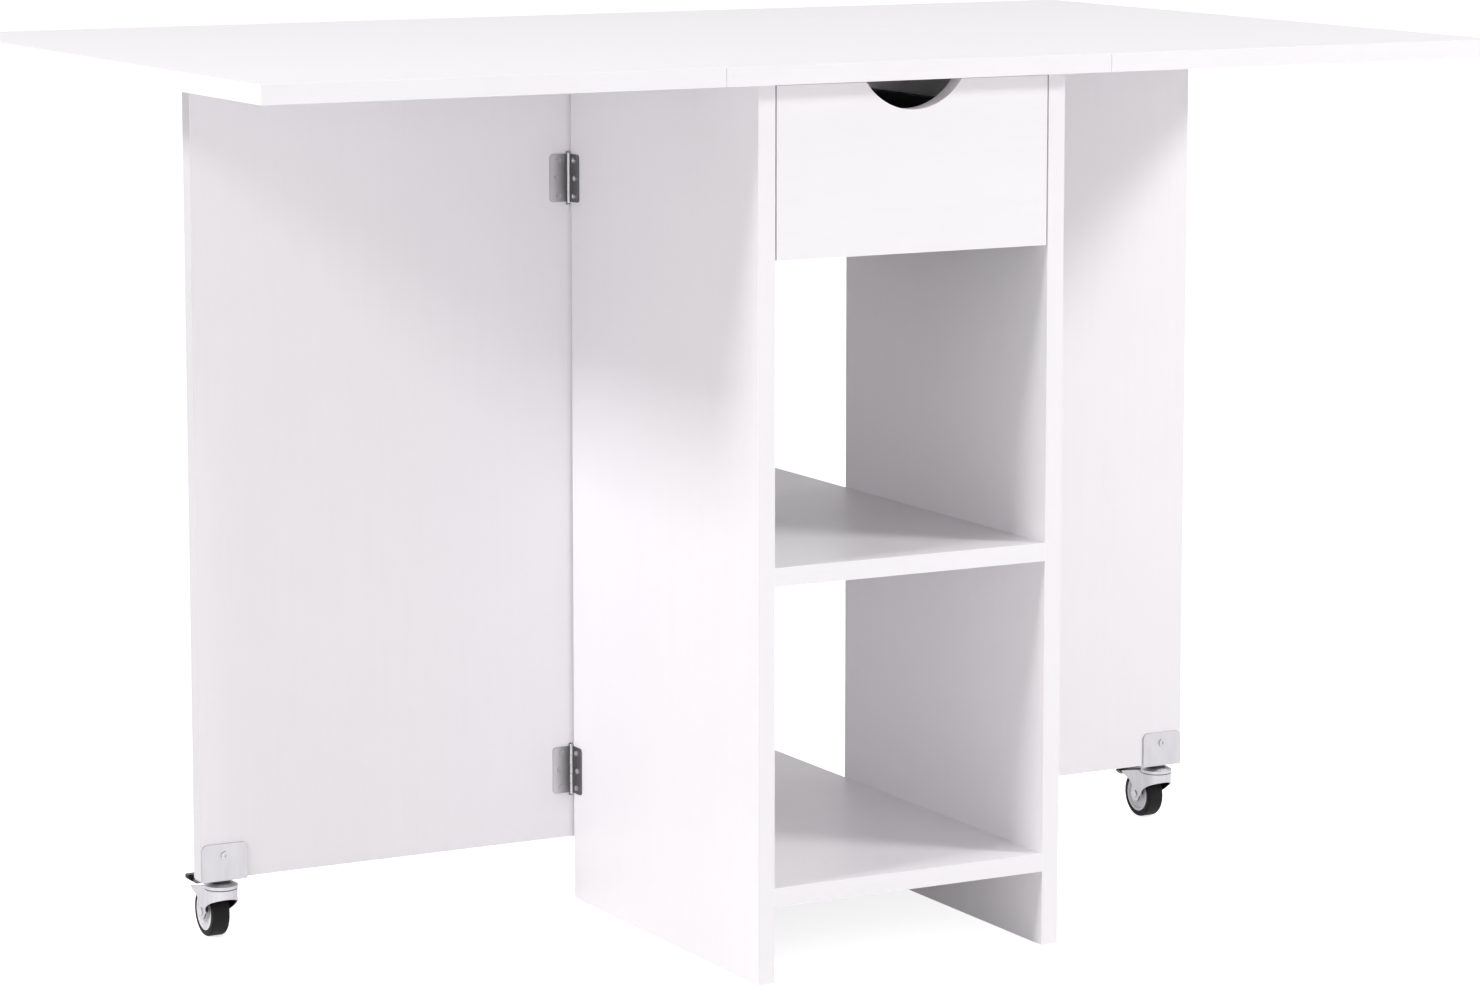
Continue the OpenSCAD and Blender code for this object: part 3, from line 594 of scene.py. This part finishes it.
def laminate(name, colour, roughness, box, band_width, print_run, shine=BOARD_SHINE, end_x=None):
    """Melamine faced board: faint clouds and a pale print, a fine pebble, a banded edge, a painted
    highlight along the edges and, on the gates, a painted shade on the end faces.
    """
    material, tree, shader = start_material(name)
    skin = use_group(tree, MOTTLE, Cloud_Size=0.11, Grain_Size=0.0009)
    streaks = use_group(tree, MOTTLE, Cloud_Size=0.007, Grain_Size=0.0016, Stretch=print_run)
    band = use_group(
        tree,
        EDGE_BAND,
        Low_Corner=box[0],
        High_Corner=box[1],
        Band_Width=band_width,
        Line_Width=JOINT_LINE,
    )
    shown = blend_colours(tree, skin["Cloud"], rgba(colour, 0.99), rgba(colour, 1.008))
    depth = combine(tree, "MULTIPLY", streaks["Cloud"], streaks["Grain"])
    shown = blend_colours(tree, combine(tree, "MULTIPLY", depth, 0.35), shown, rgba(colour, 0.95))
    # Painted highlight: each face is made lighter within the band's width of its edges, where the
    # rounded edges catch the light
    edge = combine(tree, "MULTIPLY", band["Near Edge"], 0.7)
    shown = blend_colours(tree, edge, shown, rgba(colour, 1.05))
    line = combine(tree, "MULTIPLY", band["Joint Line"], 0.10)
    shown = blend_colours(tree, line, shown, rgba(colour, 0.62))
    # Painted shade: a gate's outer end face is darkened, so it reads less lit than the lamp at the
    # left makes it
    if end_x is not None:
        out = combine(tree, "ABSOLUTE", split_axes(tree, object_place(tree))[0])
        painted_end_shade = remap(tree, out, end_x - END_FACE_START, end_x - END_FACE_FULL, 0.0, 1.0)
        shown = blend_colours(tree, painted_end_shade, shown, rgba(colour, 0.80))
    rough = remap(tree, skin["Cloud"], 0.0, 1.0, roughness - 0.05, roughness + 0.05)
    relief = combine(tree, "ADD", skin["Grain"], combine(tree, "MULTIPLY", streaks["Grain"], 0.8))
    pebble = bump(tree, relief, strength=0.10, distance=0.05 * MM)
    connect(tree, shader, Base_Color=shown, Roughness=rough, Normal=pebble)
    shader.inputs["Specular IOR Level"].default_value = shine
    shader.inputs["IOR"].default_value = 1.5
    return material


def steel(name, colour, roughness, run, painted_edge_gain, grain_size=FINE_GRAIN, relief=0.12):
    """Bare or plated steel: brushed grain, soft stains, and edges painted lighter as a highlight
    where the gain is above one and darker as a shade where it is below.
    """
    material, tree, shader = start_material(name)
    skin = use_group(tree, MOTTLE, Cloud_Size=0.006, Grain_Size=grain_size, Stretch=run)
    edge_shading_and_wear = use_group(tree, CONVEX_EDGES, Radius=0.35 * MM)
    stains = blend_colours(tree, skin["Cloud"], rgba(colour, 0.95), rgba(colour, 1.04))
    # Painted light on the edges: a gain above one paints a highlight, below one a shade
    shown = blend_colours(tree, edge_shading_and_wear["Edge"], stains, rgba(colour, painted_edge_gain))
    rough = remap(tree, skin["Grain"], 0.0, 1.0, roughness - 0.04, roughness + 0.04)
    lines = bump(tree, skin["Grain"], strength=relief, distance=0.02 * MM)
    shader.inputs["Metallic"].default_value = 1.0
    connect(tree, shader, Base_Color=shown, Roughness=rough, Normal=lines)
    return material


def hinge_leaf_steel(name, colour, knuckle_colour, axis, shade, shade_end):
    """Pressed steel leaf: a painted shade along its rims, a bright knuckle, and a painted shade
    beside the knuckle that fades out.
    """
    material, tree, shader = start_material(name)
    skin = use_group(tree, MOTTLE, Cloud_Size=0.006, Grain_Size=0.0012, Stretch=BRUSHED_ALONG_Z)
    painted_rim_shade = use_group(tree, CONVEX_EDGES, Radius=0.8 * MM)
    from_axis = combine_vectors(tree, "SUBTRACT", object_place(tree), axis)
    reach = distance_from_upright(tree, split_axes(tree, from_axis))
    beside = remap(tree, reach, LEAF_SHADE_START, shade_end, shade, 0.0)
    knuckle = remap(tree, reach, KNUCKLE_INNER, KNUCKLE_OUTER, 1.0, 0.0)
    stains = blend_colours(tree, skin["Cloud"], rgba(colour, 0.96), rgba(colour, 1.03))
    # Painted shade along the rims, then painted shade beside the knuckle
    edged = blend_colours(tree, painted_rim_shade["Edge"], stains, rgba(colour, 0.7))
    shaded = blend_colours(tree, beside, edged, rgba(colour, 0.25))
    shown = blend_colours(tree, knuckle, shaded, rgba(knuckle_colour))
    rough = remap(tree, skin["Grain"], 0.0, 1.0, 0.42, 0.50)
    lines = bump(tree, skin["Grain"], strength=0.05, distance=0.02 * MM)
    shader.inputs["Metallic"].default_value = 1.0
    connect(tree, shader, Base_Color=shown, Roughness=rough, Normal=lines)
    return material


def gate_screw_steel(name, hinge_colour, caster_colour):
    """Screws of the gate's hinges and, further out, of its caster, with a painted shade round
    their rims.
    """
    material, tree, shader = start_material(name)
    painted_rim_shade = use_group(tree, CONVEX_EDGES, Radius=0.5 * MM)
    skin = use_group(tree, MOTTLE, Cloud_Size=0.003, Grain_Size=0.0012)
    out = combine(tree, "ABSOLUTE", split_axes(tree, object_place(tree))[0])
    on_caster = combine(tree, "GREATER_THAN", out, CASTER_SCREWS_START)
    body = blend_colours(tree, on_caster, rgba(hinge_colour), rgba(caster_colour))
    stain = combine(tree, "MULTIPLY", skin["Cloud"], 0.12)
    stained = blend_colours(tree, stain, body, rgba(hinge_colour, 0.5))
    # Painted shade round each screw head's rim
    shown = blend_colours(tree, painted_rim_shade["Edge"], stained, rgba(hinge_colour, 0.45))
    rough = remap(tree, skin["Grain"], 0.0, 1.0, 0.27, 0.33)
    shader.inputs["Metallic"].default_value = 1.0
    connect(tree, shader, Base_Color=shown, Roughness=rough)
    return material


def caster_fork_zinc(name, colour, centre, inner_r, seam_z):
    """Plated sheet steel with a painted shade that makes its inside near black, a painted shade
    line in the groove under the head's band, and painted shade along its edges.
    """
    material, tree, shader = start_material(name)
    skin = use_group(tree, MOTTLE, Cloud_Size=0.006, Grain_Size=0.0003, Stretch=ROLLED_ALONG_Z)
    edge_shading_and_wear = use_group(tree, CONVEX_EDGES, Radius=0.35 * MM)
    axes = split_axes(tree, combine_vectors(tree, "SUBTRACT", object_place(tree), centre))
    reach = distance_from_upright(tree, axes)
    in_head = remap(tree, reach, inner_r - FORK_INSIDE_FADE, inner_r, 1.0, 0.0)
    sideways = combine(tree, "ABSOLUTE", axes[0])
    between = remap(tree, sideways, FORK_HALF_GAP - FORK_INSIDE_FADE, FORK_HALF_GAP, 1.0, 0.0)
    behind = remap(tree, axes[1], 1.0 * MM, 2.0 * MM, 0.0, 1.0)
    in_legs = combine(tree, "MULTIPLY", between, behind)
    below = remap(tree, axes[2], seam_z, seam_z + 0.8 * MM, 1.0, 0.0)
    # Painted shade: the inside of the head and of the legs is made near black
    painted_inside_shade = combine(tree, "MULTIPLY", combine(tree, "MAXIMUM", in_head, in_legs), below)
    # Painted shade: a dark line in the groove under the head's band
    off_seam = combine(tree, "ABSOLUTE", combine(tree, "SUBTRACT", axes[2], seam_z))
    painted_groove_shade = remap(tree, off_seam, 0.3 * MM, 0.7 * MM, 0.55, 0.0)
    stains = blend_colours(tree, skin["Cloud"], rgba(colour, 0.96), rgba(colour, 1.04))
    # Painted shade along the edges
    edged = blend_colours(tree, edge_shading_and_wear["Edge"], stains, rgba(colour, 0.8))
    lined = blend_colours(tree, painted_groove_shade, edged, rgba(colour, 0.3))
    shown = blend_colours(tree, painted_inside_shade, lined, rgba(colour, 0.015))
    rough = remap(tree, skin["Grain"], 0.0, 1.0, 0.38, 0.48)
    lines = bump(tree, skin["Grain"], strength=0.12, distance=0.02 * MM)
    shader.inputs["Metallic"].default_value = 1.0
    connect(tree, shader, Base_Color=shown, Roughness=rough, Normal=lines)
    return material


def moulded_plastic(name, colour, roughness, grain):
    """Moulded plastic with a fine spark-eroded texture and edges made lighter by scuff wear and a
    painted highlight.
    """
    material, tree, shader = start_material(name)
    skin = use_group(tree, MOTTLE, Cloud_Size=0.012, Grain_Size=0.0004)
    edge_shading_and_wear = use_group(tree, CONVEX_EDGES, Radius=0.3 * MM)
    body = blend_colours(tree, skin["Cloud"], rgba(colour, 0.92), rgba(colour, 1.08))
    # Scuff wear and a painted highlight along the edges
    scuff_and_highlight = remap(tree, edge_shading_and_wear["Edge"], 0.0, 1.0, 0.0, 0.4)
    shown = blend_colours(tree, scuff_and_highlight, body, rgba(colour, 1.6))
    rough = remap(tree, skin["Grain"], 0.0, 1.0, roughness - 0.06, roughness + 0.08)
    pores = bump(tree, skin["Grain"], strength=grain, distance=0.03 * MM)
    connect(tree, shader, Base_Color=shown, Roughness=rough, Normal=pores)
    return material


def tyre_rubber(name, colour, centre_x):
    """Soft tread: a dusty running face with a fine moulding line round its middle."""
    material, tree, shader = start_material(name)
    skin = use_group(tree, MOTTLE, Cloud_Size=0.005, Grain_Size=0.0003)
    sideways = combine(tree, "SUBTRACT", split_axes(tree, object_place(tree))[0], centre_x)
    off_middle = combine(tree, "ABSOLUTE", sideways)
    running_face = remap(tree, off_middle, TREAD_FLAT, TREAD_SHOULDER, 1.0, 0.0)
    dust = combine(tree, "MULTIPLY", running_face, skin["Cloud"])
    shown = blend_colours(tree, dust, rgba(colour, 0.75), rgba(colour, 1.6))
    rough = remap(tree, skin["Cloud"], 0.0, 1.0, 0.55, 0.72)
    moulding_line = remap(tree, off_middle, 0.08 * MM, 0.22 * MM, 1.0, 0.0)
    grain = combine(tree, "MULTIPLY", skin["Grain"], 0.3)
    height = combine(tree, "ADD", grain, moulding_line)
    relief = bump(tree, height, strength=0.3, distance=0.08 * MM)
    shader.inputs["Specular IOR Level"].default_value = TYRE_SHINE
    connect(tree, shader, Base_Color=shown, Roughness=rough, Normal=relief)
    return material


def beech(name, colour):
    """Turned beech with fine flecks along the grain."""
    material, tree, shader = start_material(name)
    grain = use_group(tree, MOTTLE, Cloud_Size=0.003, Grain_Size=0.0005, Stretch=TURNED_ALONG_X)
    flecks = blend_colours(tree, grain["Grain"], rgba(colour, 0.8), rgba(colour, 1.1))
    shown = blend_colours(tree, grain["Cloud"], flecks, rgba(colour, 0.92))
    fibres = bump(tree, grain["Grain"], strength=0.3, distance=0.05 * MM)
    shader.inputs["Roughness"].default_value = 0.7
    connect(tree, shader, Base_Color=shown, Normal=fibres)
    return material


# Mesh finishing


def make_crease_tree():
    """Geometry nodes that keep edges sharp above an angle and shade the rest smooth."""
    tree = bpy.data.node_groups.new("Crease by Angle", "GeometryNodeTree")
    tree.interface.new_socket(name="Mesh", in_out="INPUT", socket_type="NodeSocketGeometry")
    angle = tree.interface.new_socket(name="Angle", in_out="INPUT", socket_type="NodeSocketFloat")
    angle.default_value = math.radians(28.0)
    tree.interface.new_socket(name="Mesh", in_out="OUTPUT", socket_type="NodeSocketGeometry")
    source = tree.nodes.new("NodeGroupInput")
    sink = tree.nodes.new("NodeGroupOutput")
    bend = place_node(tree, "GeometryNodeInputMeshEdgeAngle").outputs["Unsigned Angle"]
    soft = place_node(
        tree,
        "FunctionNodeCompare",
        {0: bend, 1: source.outputs["Angle"]},
        data_type="FLOAT",
        operation="LESS_THAN",
    ).outputs["Result"]
    shape = source.outputs["Mesh"]
    for domain, inputs in (("FACE", {}), ("EDGE", {"Shade Smooth": soft})):
        inputs["Geometry"] = shape
        shade = place_node(tree, "GeometryNodeSetShadeSmooth", inputs, domain=domain)
        shape = shade.outputs["Geometry"]
    tree.links.new(shape, sink.inputs["Mesh"])
    return tree


CREASE = make_crease_tree()


def soften(node, width=0.0, segments=2):
    """Joins a CAD node's faces, rounds its edges by a width, and keeps its flats flat."""
    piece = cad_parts[node]
    normals = piece.data.attributes.get("custom_normal")
    if normals is not None:
        piece.data.attributes.remove(normals)
    weld = piece.modifiers.new("Join faces", "WELD")
    weld.merge_threshold = 0.002 * MM
    if width > 0.0:
        edge = piece.modifiers.new("Round edges", "BEVEL")
        edge.width = width
        edge.segments = segments
        edge.limit_method = "ANGLE"
        edge.angle_limit = math.radians(40.0)
        edge.use_clamp_overlap = True
        edge.harden_normals = True
        edge.miter_outer = "MITER_ARC"
    crease = piece.modifiers.new("Crease", "NODES")
    crease.node_group = CREASE
    if width > 0.0:
        flats = piece.modifiers.new("Flat faces", "WEIGHTED_NORMAL")
        flats.keep_sharp = True


def finish_node(node, material):
    """Gives a CAD node one material."""
    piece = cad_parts[node]
    piece.data.materials.clear()
    piece.data.materials.append(material)


class CART_OT_boards(bpy.types.Operator):
    """Finish the white boards of the top, the carcass, the drawer front and the gates"""

    bl_idname = "cart.boards"
    bl_label = "Boards"
    bl_options = {"REGISTER", "UNDO"}

    def execute(self, context):
        look = context.scene.cart_finishes
        for node in MAIN_BOARDS + RUNNERS:
            low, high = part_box(node)
            board = laminate(
                "laminate_" + node,
                look.laminate_colour,
                look.laminate_roughness,
                (low, high),
                look.band_width,
                PRINT_ALONG_Z if node in UPRIGHT_BOARDS else PRINT_ALONG_X,
                end_x=max(abs(low.x), abs(high.x)) if node.startswith("gate_") else None,
            )
            finish_node(node, board)
            soften(node, look.board_round, segments=3)
        return {"FINISHED"}


class CART_OT_drawer_box(bpy.types.Operator):
    """Finish the box behind the drawer front, near black as a painted shade inside the drawer"""

    bl_idname = "cart.drawer_box"
    bl_label = "Drawer Box"
    bl_options = {"REGISTER", "UNDO"}

    def execute(self, context):
        look = context.scene.cart_finishes
        for node in DRAWER_BOX:
            board = laminate(
                "laminate_" + node,
                look.box_shade_colour,
                BOX_ROUGHNESS,
                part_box(node),
                look.band_width,
                PRINT_ALONG_Y,
                shine=BOX_SHINE,
            )
            finish_node(node, board)
            soften(node, BOX_ROUND)
        return {"FINISHED"}


class CART_OT_hinges(bpy.types.Operator):
    """Finish the gate hinges, the leaf hinges and their pins and screws"""

    bl_idname = "cart.hinges"
    bl_label = "Hinges"
    bl_options = {"REGISTER", "UNDO"}

    def execute(self, context):
        look = context.scene.cart_finishes
        hinge_colour = look.hinge_colour
        plate = steel("hinge_steel", hinge_colour, **PLATE_STEEL)
        leaves = {}
        for side in SIDES:
            low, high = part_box("gate_hinge_pins_" + side)
            axis = ((low.x + high.x) / 2, (low.y + high.y) / 2, 0.0)
            for kind, colour, shade, shade_end in (
                ("gate_leaf", look.gate_leaf_lit_colour, 0.95, GATE_LEAF_SHADE_END),
                ("panel_leaf", look.panel_leaf_shaded_colour, 0.5, PANEL_LEAF_SHADE_END),
            ):
                leaves[side + "_" + kind] = hinge_leaf_steel(
                    kind + "_steel_" + side, colour, hinge_colour, axis, shade, shade_end
                )
        bright = steel("hinge_pin_steel", hinge_colour, **PIN_STEEL)
        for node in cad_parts:
            if "hinge" not in node:
                continue
            small = "screws" in node or "pins" in node
            leaf = next((leaves[end] for end in leaves if node.endswith(end)), plate)
            finish_node(node, bright if small else leaf)
            soften(node)
        gate_screw = gate_screw_steel("gate_screw_steel", hinge_colour, look.zinc_colour)
        panel_screw = steel("hinge_screw_steel", look.panel_screw_glint_colour, **PANEL_SCREW_STEEL)
        for side in SIDES:
            finish_node("gate_screws_" + side, gate_screw)
            soften("gate_screws_" + side)
            finish_node("panel_hinge_screws_" + side, panel_screw)
        return {"FINISHED"}


class CART_OT_fittings(bpy.types.Operator):
    """Finish the cams, bolts, dowels and screws that hold the boards"""

    bl_idname = "cart.fittings"
    bl_label = "Fittings"
    bl_options = {"REGISTER", "UNDO"}

    def execute(self, context):
        look = context.scene.cart_finishes
        zinc = steel("fitting_zinc", look.zinc_colour, **FITTING_ZINC)
        for node in FITTINGS:
            finish_node(node, zinc)
            soften(node)
        finish_node("carcass_dowels", beech("dowel_beech", look.beech_colour))
        soften("carcass_dowels")
        return {"FINISHED"}


class CART_OT_casters(bpy.types.Operator):
    """Finish the casters' plated brackets, forks, kingpins and axles"""

    bl_idname = "cart.casters"
    bl_label = "Casters"
    bl_options = {"REGISTER", "UNDO"}

    def execute(self, context):
        look = context.scene.cart_finishes
        zinc = look.zinc_colour
        sheet = steel("caster_zinc", zinc, **SHEET_ZINC)
        rivet = steel("rivet_zinc", zinc, **RIVET_ZINC)
        for side in SIDES:
            finish_node("caster_bracket_" + side, sheet)
            pin_low, pin_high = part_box("kingpin_" + side)
            head_low, head_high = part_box("caster_fork_" + side)
            middle = (pin_low + pin_high) / 2
            fork = caster_fork_zinc(
                "caster_fork_" + side,
                zinc,
                (middle.x, middle.y, 0.0),
                (head_high.x - head_low.x) / 2 - FORK_SHEET,
                head_high.z - HEAD_SEAM_DROP,
            )
            finish_node("caster_fork_" + side, fork)
            for part in ("caster_bracket_", "caster_fork_"):
                soften(part + side, look.sheet_round)
            for part in ("kingpin_", "axle_", "pedal_pin_"):
                finish_node(part + side, rivet)
                soften(part + side, SMALL_ROUND)
        return {"FINISHED"}


class CART_OT_wheels(bpy.types.Operator):
    """Finish the tyres, hubs, swivel covers and brake pedals"""

    bl_idname = "cart.wheels"
    bl_label = "Wheels and Brakes"
    bl_options = {"REGISTER", "UNDO"}

    def execute(self, context):
        look = context.scene.cart_finishes
        hub = moulded_plastic("hub_plastic", look.hub_colour, roughness=0.45, grain=0.12)
        black = moulded_plastic("black_plastic", look.plastic_colour, roughness=0.38, grain=0.2)
        for side in SIDES:
            tyre = "tyre_" + side
            low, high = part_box(tyre)
            finish_node(tyre, tyre_rubber(tyre, look.tyre_colour, (low.x + high.x) / 2))
            soften(tyre)
            finish_node("wheel_hub_" + side, hub)
            soften("wheel_hub_" + side, SMALL_ROUND)
            for part in ("swivel_cover_", "brake_pedal_"):
                finish_node(part + side, black)
                soften(part + side, PLASTIC_ROUND)
        return {"FINISHED"}


# Studio


def seen_or_mirrored(tree):
    """One for camera, glossy and transmission rays, and nought for the rest."""
    path = place_node(tree, "ShaderNodeLightPath").outputs
    mirrored = combine(tree, "MAXIMUM", path["Is Glossy Ray"], path["Is Transmission Ray"])
    return combine(tree, "MAXIMUM", path["Is Camera Ray"], mirrored)


def make_room_light(horizon, zenith):
    """A world that lights more from the sides than from above, and looks white."""
    world = bpy.data.worlds.new("Pale room")
    world.use_nodes = True
    tree = world.node_tree
    background = next(n for n in tree.nodes if n.type == "BACKGROUND")
    background.inputs["Color"].default_value = WHITE
    direction = place_node(tree, "ShaderNodeTexCoord").outputs["Generated"]
    height = split_axes(tree, direction)[2]
    light = remap(tree, height, 0.0, 1.0, horizon, zenith)
    seen = seen_or_mirrored(tree)
    dimmed = combine(tree, "MULTIPLY", light, combine(tree, "SUBTRACT", 1.0, seen))
    tree.links.new(combine(tree, "ADD", dimmed, seen), background.inputs["Strength"])
    return world


def make_floor(colour, glow):
    """A wide matt floor that looks white and keeps a soft shadow."""
    low, high = -FLOOR_HALF, FLOOR_HALF
    mesh = bpy.data.meshes.new("studio_floor")
    corners = [(low, low, 0.0), (high, low, 0.0), (high, high, 0.0), (low, high, 0.0)]
    mesh.from_pydata(corners, [], [(0, 1, 2, 3)])
    floor = bpy.data.objects.new("studio_floor", mesh)
    bpy.context.collection.objects.link(floor)
    material, tree, shader = start_material("studio_floor")
    shader.inputs["Base Color"].default_value = rgba(colour)
    shader.inputs["Roughness"].default_value = 0.9
    shader.inputs["Specular IOR Level"].default_value = 0.1
    shader.inputs["Emission Color"].default_value = WHITE
    light = remap(tree, seen_or_mirrored(tree), 0.0, 1.0, 0.0, glow)
    tree.links.new(light, shader.inputs["Emission Strength"])
    mesh.materials.append(material)


def make_lamp(name, place, size, power):
    """A square area lamp that faces the middle of the cart."""
    data = bpy.data.lights.new(name, "AREA")
    data.shape = "SQUARE"
    data.size = size
    data.energy = power
    lamp = bpy.data.objects.new(name, data)
    lamp.location = place
    towards = Vector(LAMP_TARGET) - Vector(place)
    lamp.rotation_euler = towards.to_track_quat("-Z", "Y").to_euler()
    lamp.visible_camera = False
    bpy.context.collection.objects.link(lamp)


def make_camera(studio):
    """A camera at the photograph's viewing angle."""
    data = bpy.data.cameras.new("camera")
    data.sensor_width = SENSOR_WIDTH
    data.lens = studio.camera_focal / IMAGE_WIDTH * SENSOR_WIDTH
    data.shift_y = studio.camera_shift
    data.clip_end = VIEW_DISTANCE
    camera = bpy.data.objects.new("camera", data)
    camera.location = studio.camera_place
    camera.rotation_euler = (math.radians(90.0) - studio.camera_pitch, 0.0, -studio.camera_yaw)
    bpy.context.collection.objects.link(camera)
    return camera


class CART_OT_studio(bpy.types.Operator):
    """Set up the floor, the room light, the lamps and the camera"""

    bl_idname = "cart.studio"
    bl_label = "Studio"
    bl_options = {"REGISTER", "UNDO"}

    def execute(self, context):
        scene = context.scene
        studio = scene.cart_studio
        scene.view_settings.view_transform = "Standard"
        scene.world = make_room_light(studio.horizon_level, studio.zenith_level)
        make_floor(studio.floor_colour, studio.floor_glow)
        make_lamp("key_lamp", studio.key_place, KEY_SIZE, studio.key_power)
        make_lamp("side_lamp", studio.side_place, SIDE_SIZE, studio.side_power)
        make_lamp("front_lamp", studio.front_place, FRONT_SIZE, studio.front_power)
        scene.camera = make_camera(studio)
        return {"FINISHED"}


class CART_PT_panel(bpy.types.Panel):
    """Lists the cart's finishes, its parts and its studio"""

    bl_idname = "CART_PT_panel"
    bl_label = "Kitchen Cart"
    bl_space_type = "VIEW_3D"
    bl_region_type = "UI"
    bl_category = "Cart"

    def draw(self, context):
        layout = self.layout
        for group in (context.scene.cart_finishes, context.scene.cart_studio):
            column = layout.column(align=True)
            for name in group.__annotations__:
                column.prop(group, name)
        for operator in OPERATORS:
            layout.operator(operator.bl_idname)


OPERATORS = (
    CART_OT_studio,
    CART_OT_boards,
    CART_OT_drawer_box,
    CART_OT_hinges,
    CART_OT_fittings,
    CART_OT_casters,
    CART_OT_wheels,
)
CLASSES = (CartFinishes, CartStudio) + OPERATORS + (CART_PT_panel,)


def register():
    """Registers the classes and their settings."""
    for item in CLASSES:
        bpy.utils.register_class(item)
    bpy.types.Scene.cart_finishes = bpy.props.PointerProperty(type=CartFinishes)
    bpy.types.Scene.cart_studio = bpy.props.PointerProperty(type=CartStudio)


def unregister():
    """Removes the classes and their settings."""
    del bpy.types.Scene.cart_studio
    del bpy.types.Scene.cart_finishes
    for item in reversed(CLASSES):
        bpy.utils.unregister_class(item)


def main():
    """Finishes the whole cart and sets up its studio."""
    register()
    bpy.ops.cart.studio()
    bpy.ops.cart.boards()
    bpy.ops.cart.drawer_box()
    bpy.ops.cart.hinges()
    bpy.ops.cart.fittings()
    bpy.ops.cart.casters()
    bpy.ops.cart.wheels()


if __name__ == "__main__":
    main()
